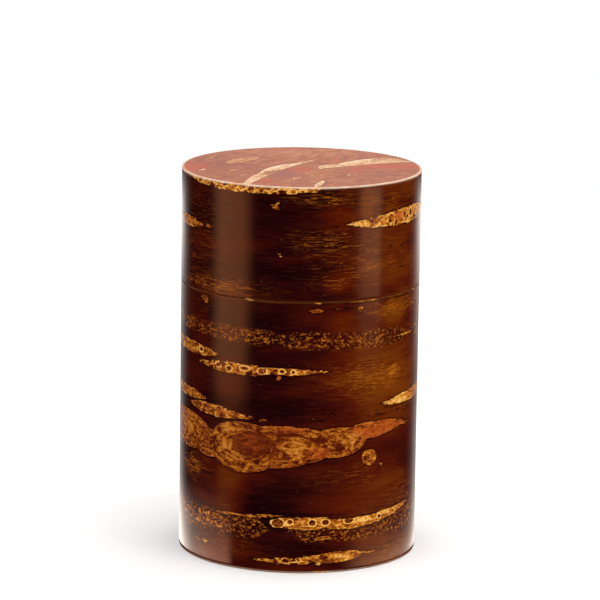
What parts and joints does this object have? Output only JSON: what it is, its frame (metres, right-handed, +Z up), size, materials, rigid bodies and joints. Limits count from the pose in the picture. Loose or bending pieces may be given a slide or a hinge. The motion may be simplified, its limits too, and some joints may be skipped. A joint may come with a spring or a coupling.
{
  "type": "tea caddy",
  "caption": "Upright round tea caddy covered in polished cherry bark, with a lift-off lid that slides over a tall collar and a knobbed inner lid.",
  "frame": {"origin": "centre of the flat underside", "axes": "+Z up along the caddy's own axis; +Y to the back, where the ends of the bark overlap"},
  "size_m": [0.075, 0.075, 0.1214],
  "materials": {
    "polished_bark": "polished wild cherry bark, dark red-brown with golden lenticels",
    "collar_bark": "smooth cherry bark, waxed by the lid sliding over it",
    "bark_lining": "unpolished cherry bark, matt",
    "wound_veneer": "layers of thin wood veneer, plain",
    "board_wood": "plain sawn wood",
    "knob_laminated_bark": "stacked bark, turned and polished"
  },
  "bodies": {
    "body": {"body_outer_bark": "polished_bark", "body_core_tube": "wound_veneer", "body_inner_bark": "bark_lining", "bottom_board": "board_wood", "bottom_bark_disc": "polished_bark", "floor_bark_disc": "bark_lining", "sleeve_outer_bark": "collar_bark", "sleeve_core_tube": "wound_veneer", "sleeve_inner_bark": "bark_lining"},
    "lid": {"lid_outer_bark": "polished_bark", "lid_core_tube": "wound_veneer", "lid_inner_bark": "bark_lining", "lid_top_board": "board_wood", "lid_top_bark_disc": "polished_bark", "lid_ceiling_bark_disc": "bark_lining"},
    "inner_lid": {"inner_lid_board": "board_wood", "inner_lid_edge_bark": "collar_bark", "inner_lid_top_bark": "polished_bark", "inner_lid_under_bark": "bark_lining", "inner_lid_plug_ring": "wound_veneer", "inner_lid_plug_bark": "bark_lining", "knob": "knob_laminated_bark", "knob_peg": "board_wood"}
  },
  "joints": [
    {"name": "lid_lift", "type": "slide", "parent": "body", "child": "lid", "axis": [0, 0, 1], "range_m": [0, 0.1]},
    {"name": "inner_lid_lift", "type": "slide", "parent": "body", "child": "inner_lid", "axis": [0, 0, 1], "range_m": [0, 0.05]}
  ],
  "couplings": [
    {"joint": "inner_lid_lift", "follows": "lid_lift", "ratio": 0.5}
  ]
}
